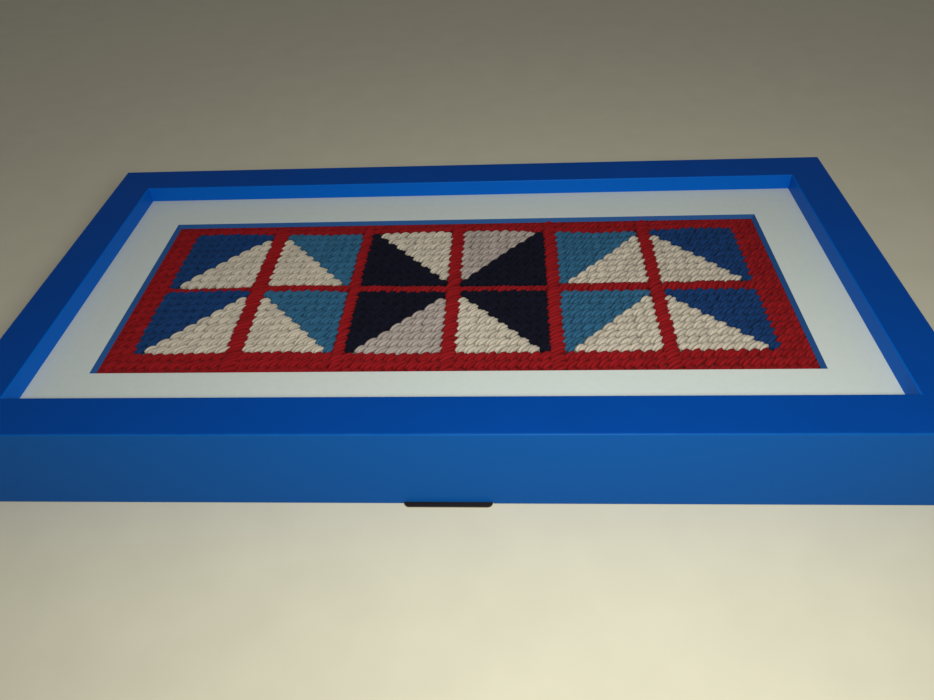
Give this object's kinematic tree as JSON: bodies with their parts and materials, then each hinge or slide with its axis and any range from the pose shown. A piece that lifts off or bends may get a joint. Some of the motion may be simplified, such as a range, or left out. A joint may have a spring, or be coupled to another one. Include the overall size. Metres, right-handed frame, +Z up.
{
  "type": "framed needlepoint picture",
  "caption": "Wool needlepoint patchwork picture behind a white window mat, in a deep blue painted box frame that lies on its back.",
  "frame": {"origin": "centre of the underside, on the surface that the picture lies on", "axes": "+X along the picture's long side, +Y towards the long side that has no hanger plate, +Z up, out of the picture's face"},
  "size_m": [0.4234, 0.2192, 0.0456],
  "materials": {
    "frame_paint": "satin blue paint on wood",
    "mat_board": "matt off-white board, blue on its bevel",
    "wool": "thick wool yarn in diagonal stitches, crimson, cream, grey, light and dark blue and navy",
    "hardboard": "smooth brown hardboard",
    "clip_steel": "plain sheet steel",
    "plate_steel": "dark brown lacquered steel"
  },
  "bodies": {
    "root": {"rail_near": "frame_paint", "rail_far": "frame_paint", "rail_left": "frame_paint", "rail_right": "frame_paint", "mat": "mat_board", "needlepoint": "wool", "backing_board": "hardboard", "clip_near_a": "clip_steel", "clip_near_b": "clip_steel", "clip_far_a": "clip_steel", "clip_far_b": "clip_steel", "clip_left_a": "clip_steel", "clip_left_b": "clip_steel", "clip_right_a": "clip_steel", "clip_right_b": "clip_steel", "hanger_plate": "plate_steel"}
  },
  "joints": []
}
